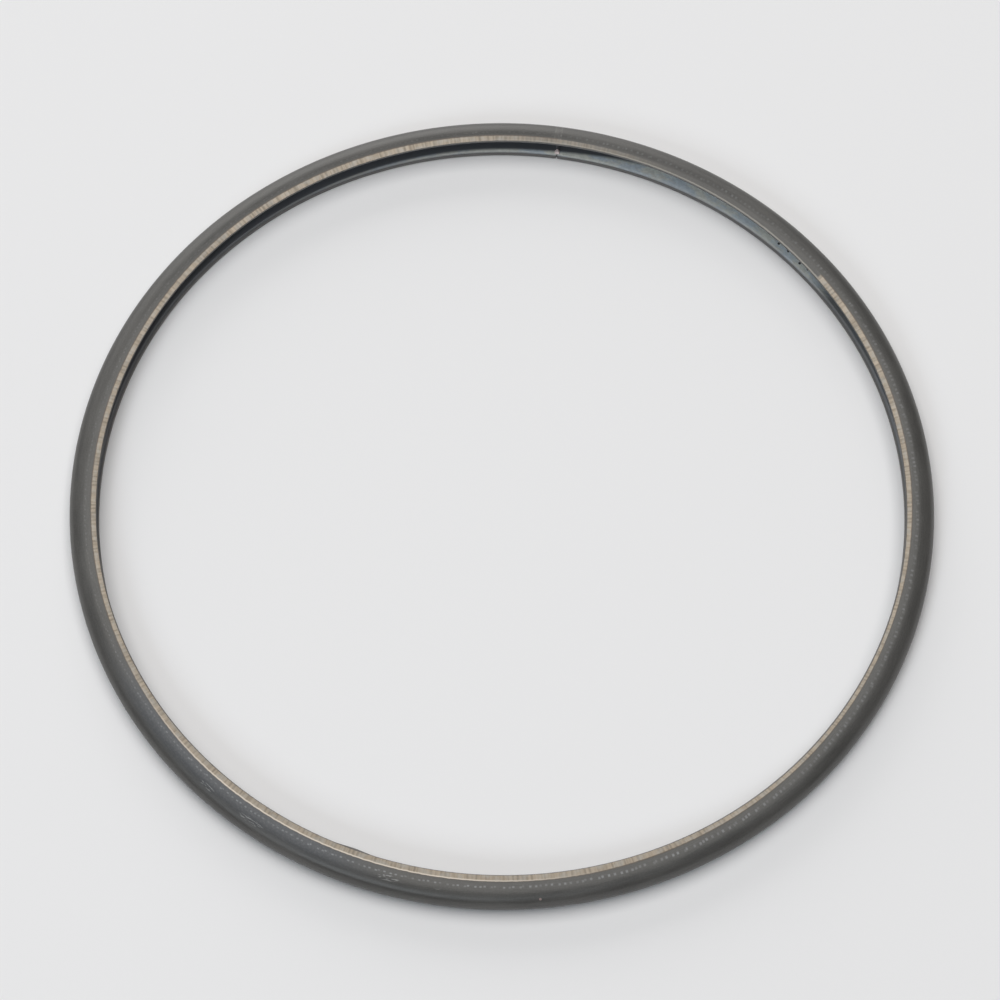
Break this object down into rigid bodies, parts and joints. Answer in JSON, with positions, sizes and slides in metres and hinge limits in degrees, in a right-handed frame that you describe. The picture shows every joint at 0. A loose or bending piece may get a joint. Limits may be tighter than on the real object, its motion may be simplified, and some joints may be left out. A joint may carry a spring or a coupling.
{
  "type": "metal c-ring seal",
  "caption": "Thin metal face-seal ring rolled to a hollow C-shaped section that opens towards the axis, squeezed between two flat faces to seal against outside pressure.",
  "frame": {"origin": "centre of the ring on the plane it rests on, which touches its lower crown all the way round", "axes": "+Z is the ring's axis, pointing away from the plane it rests on; the weld is at 83 degrees from +X towards +Y"},
  "size_m": [0.09, 0.09, 0.0032],
  "materials": {
    "coated_strip": "semi-gloss dark grey coating, worn to bare metal along the lips' inner edge"
  },
  "bodies": {
    "root": {"seal_ring": "coated_strip"}
  },
  "joints": []
}
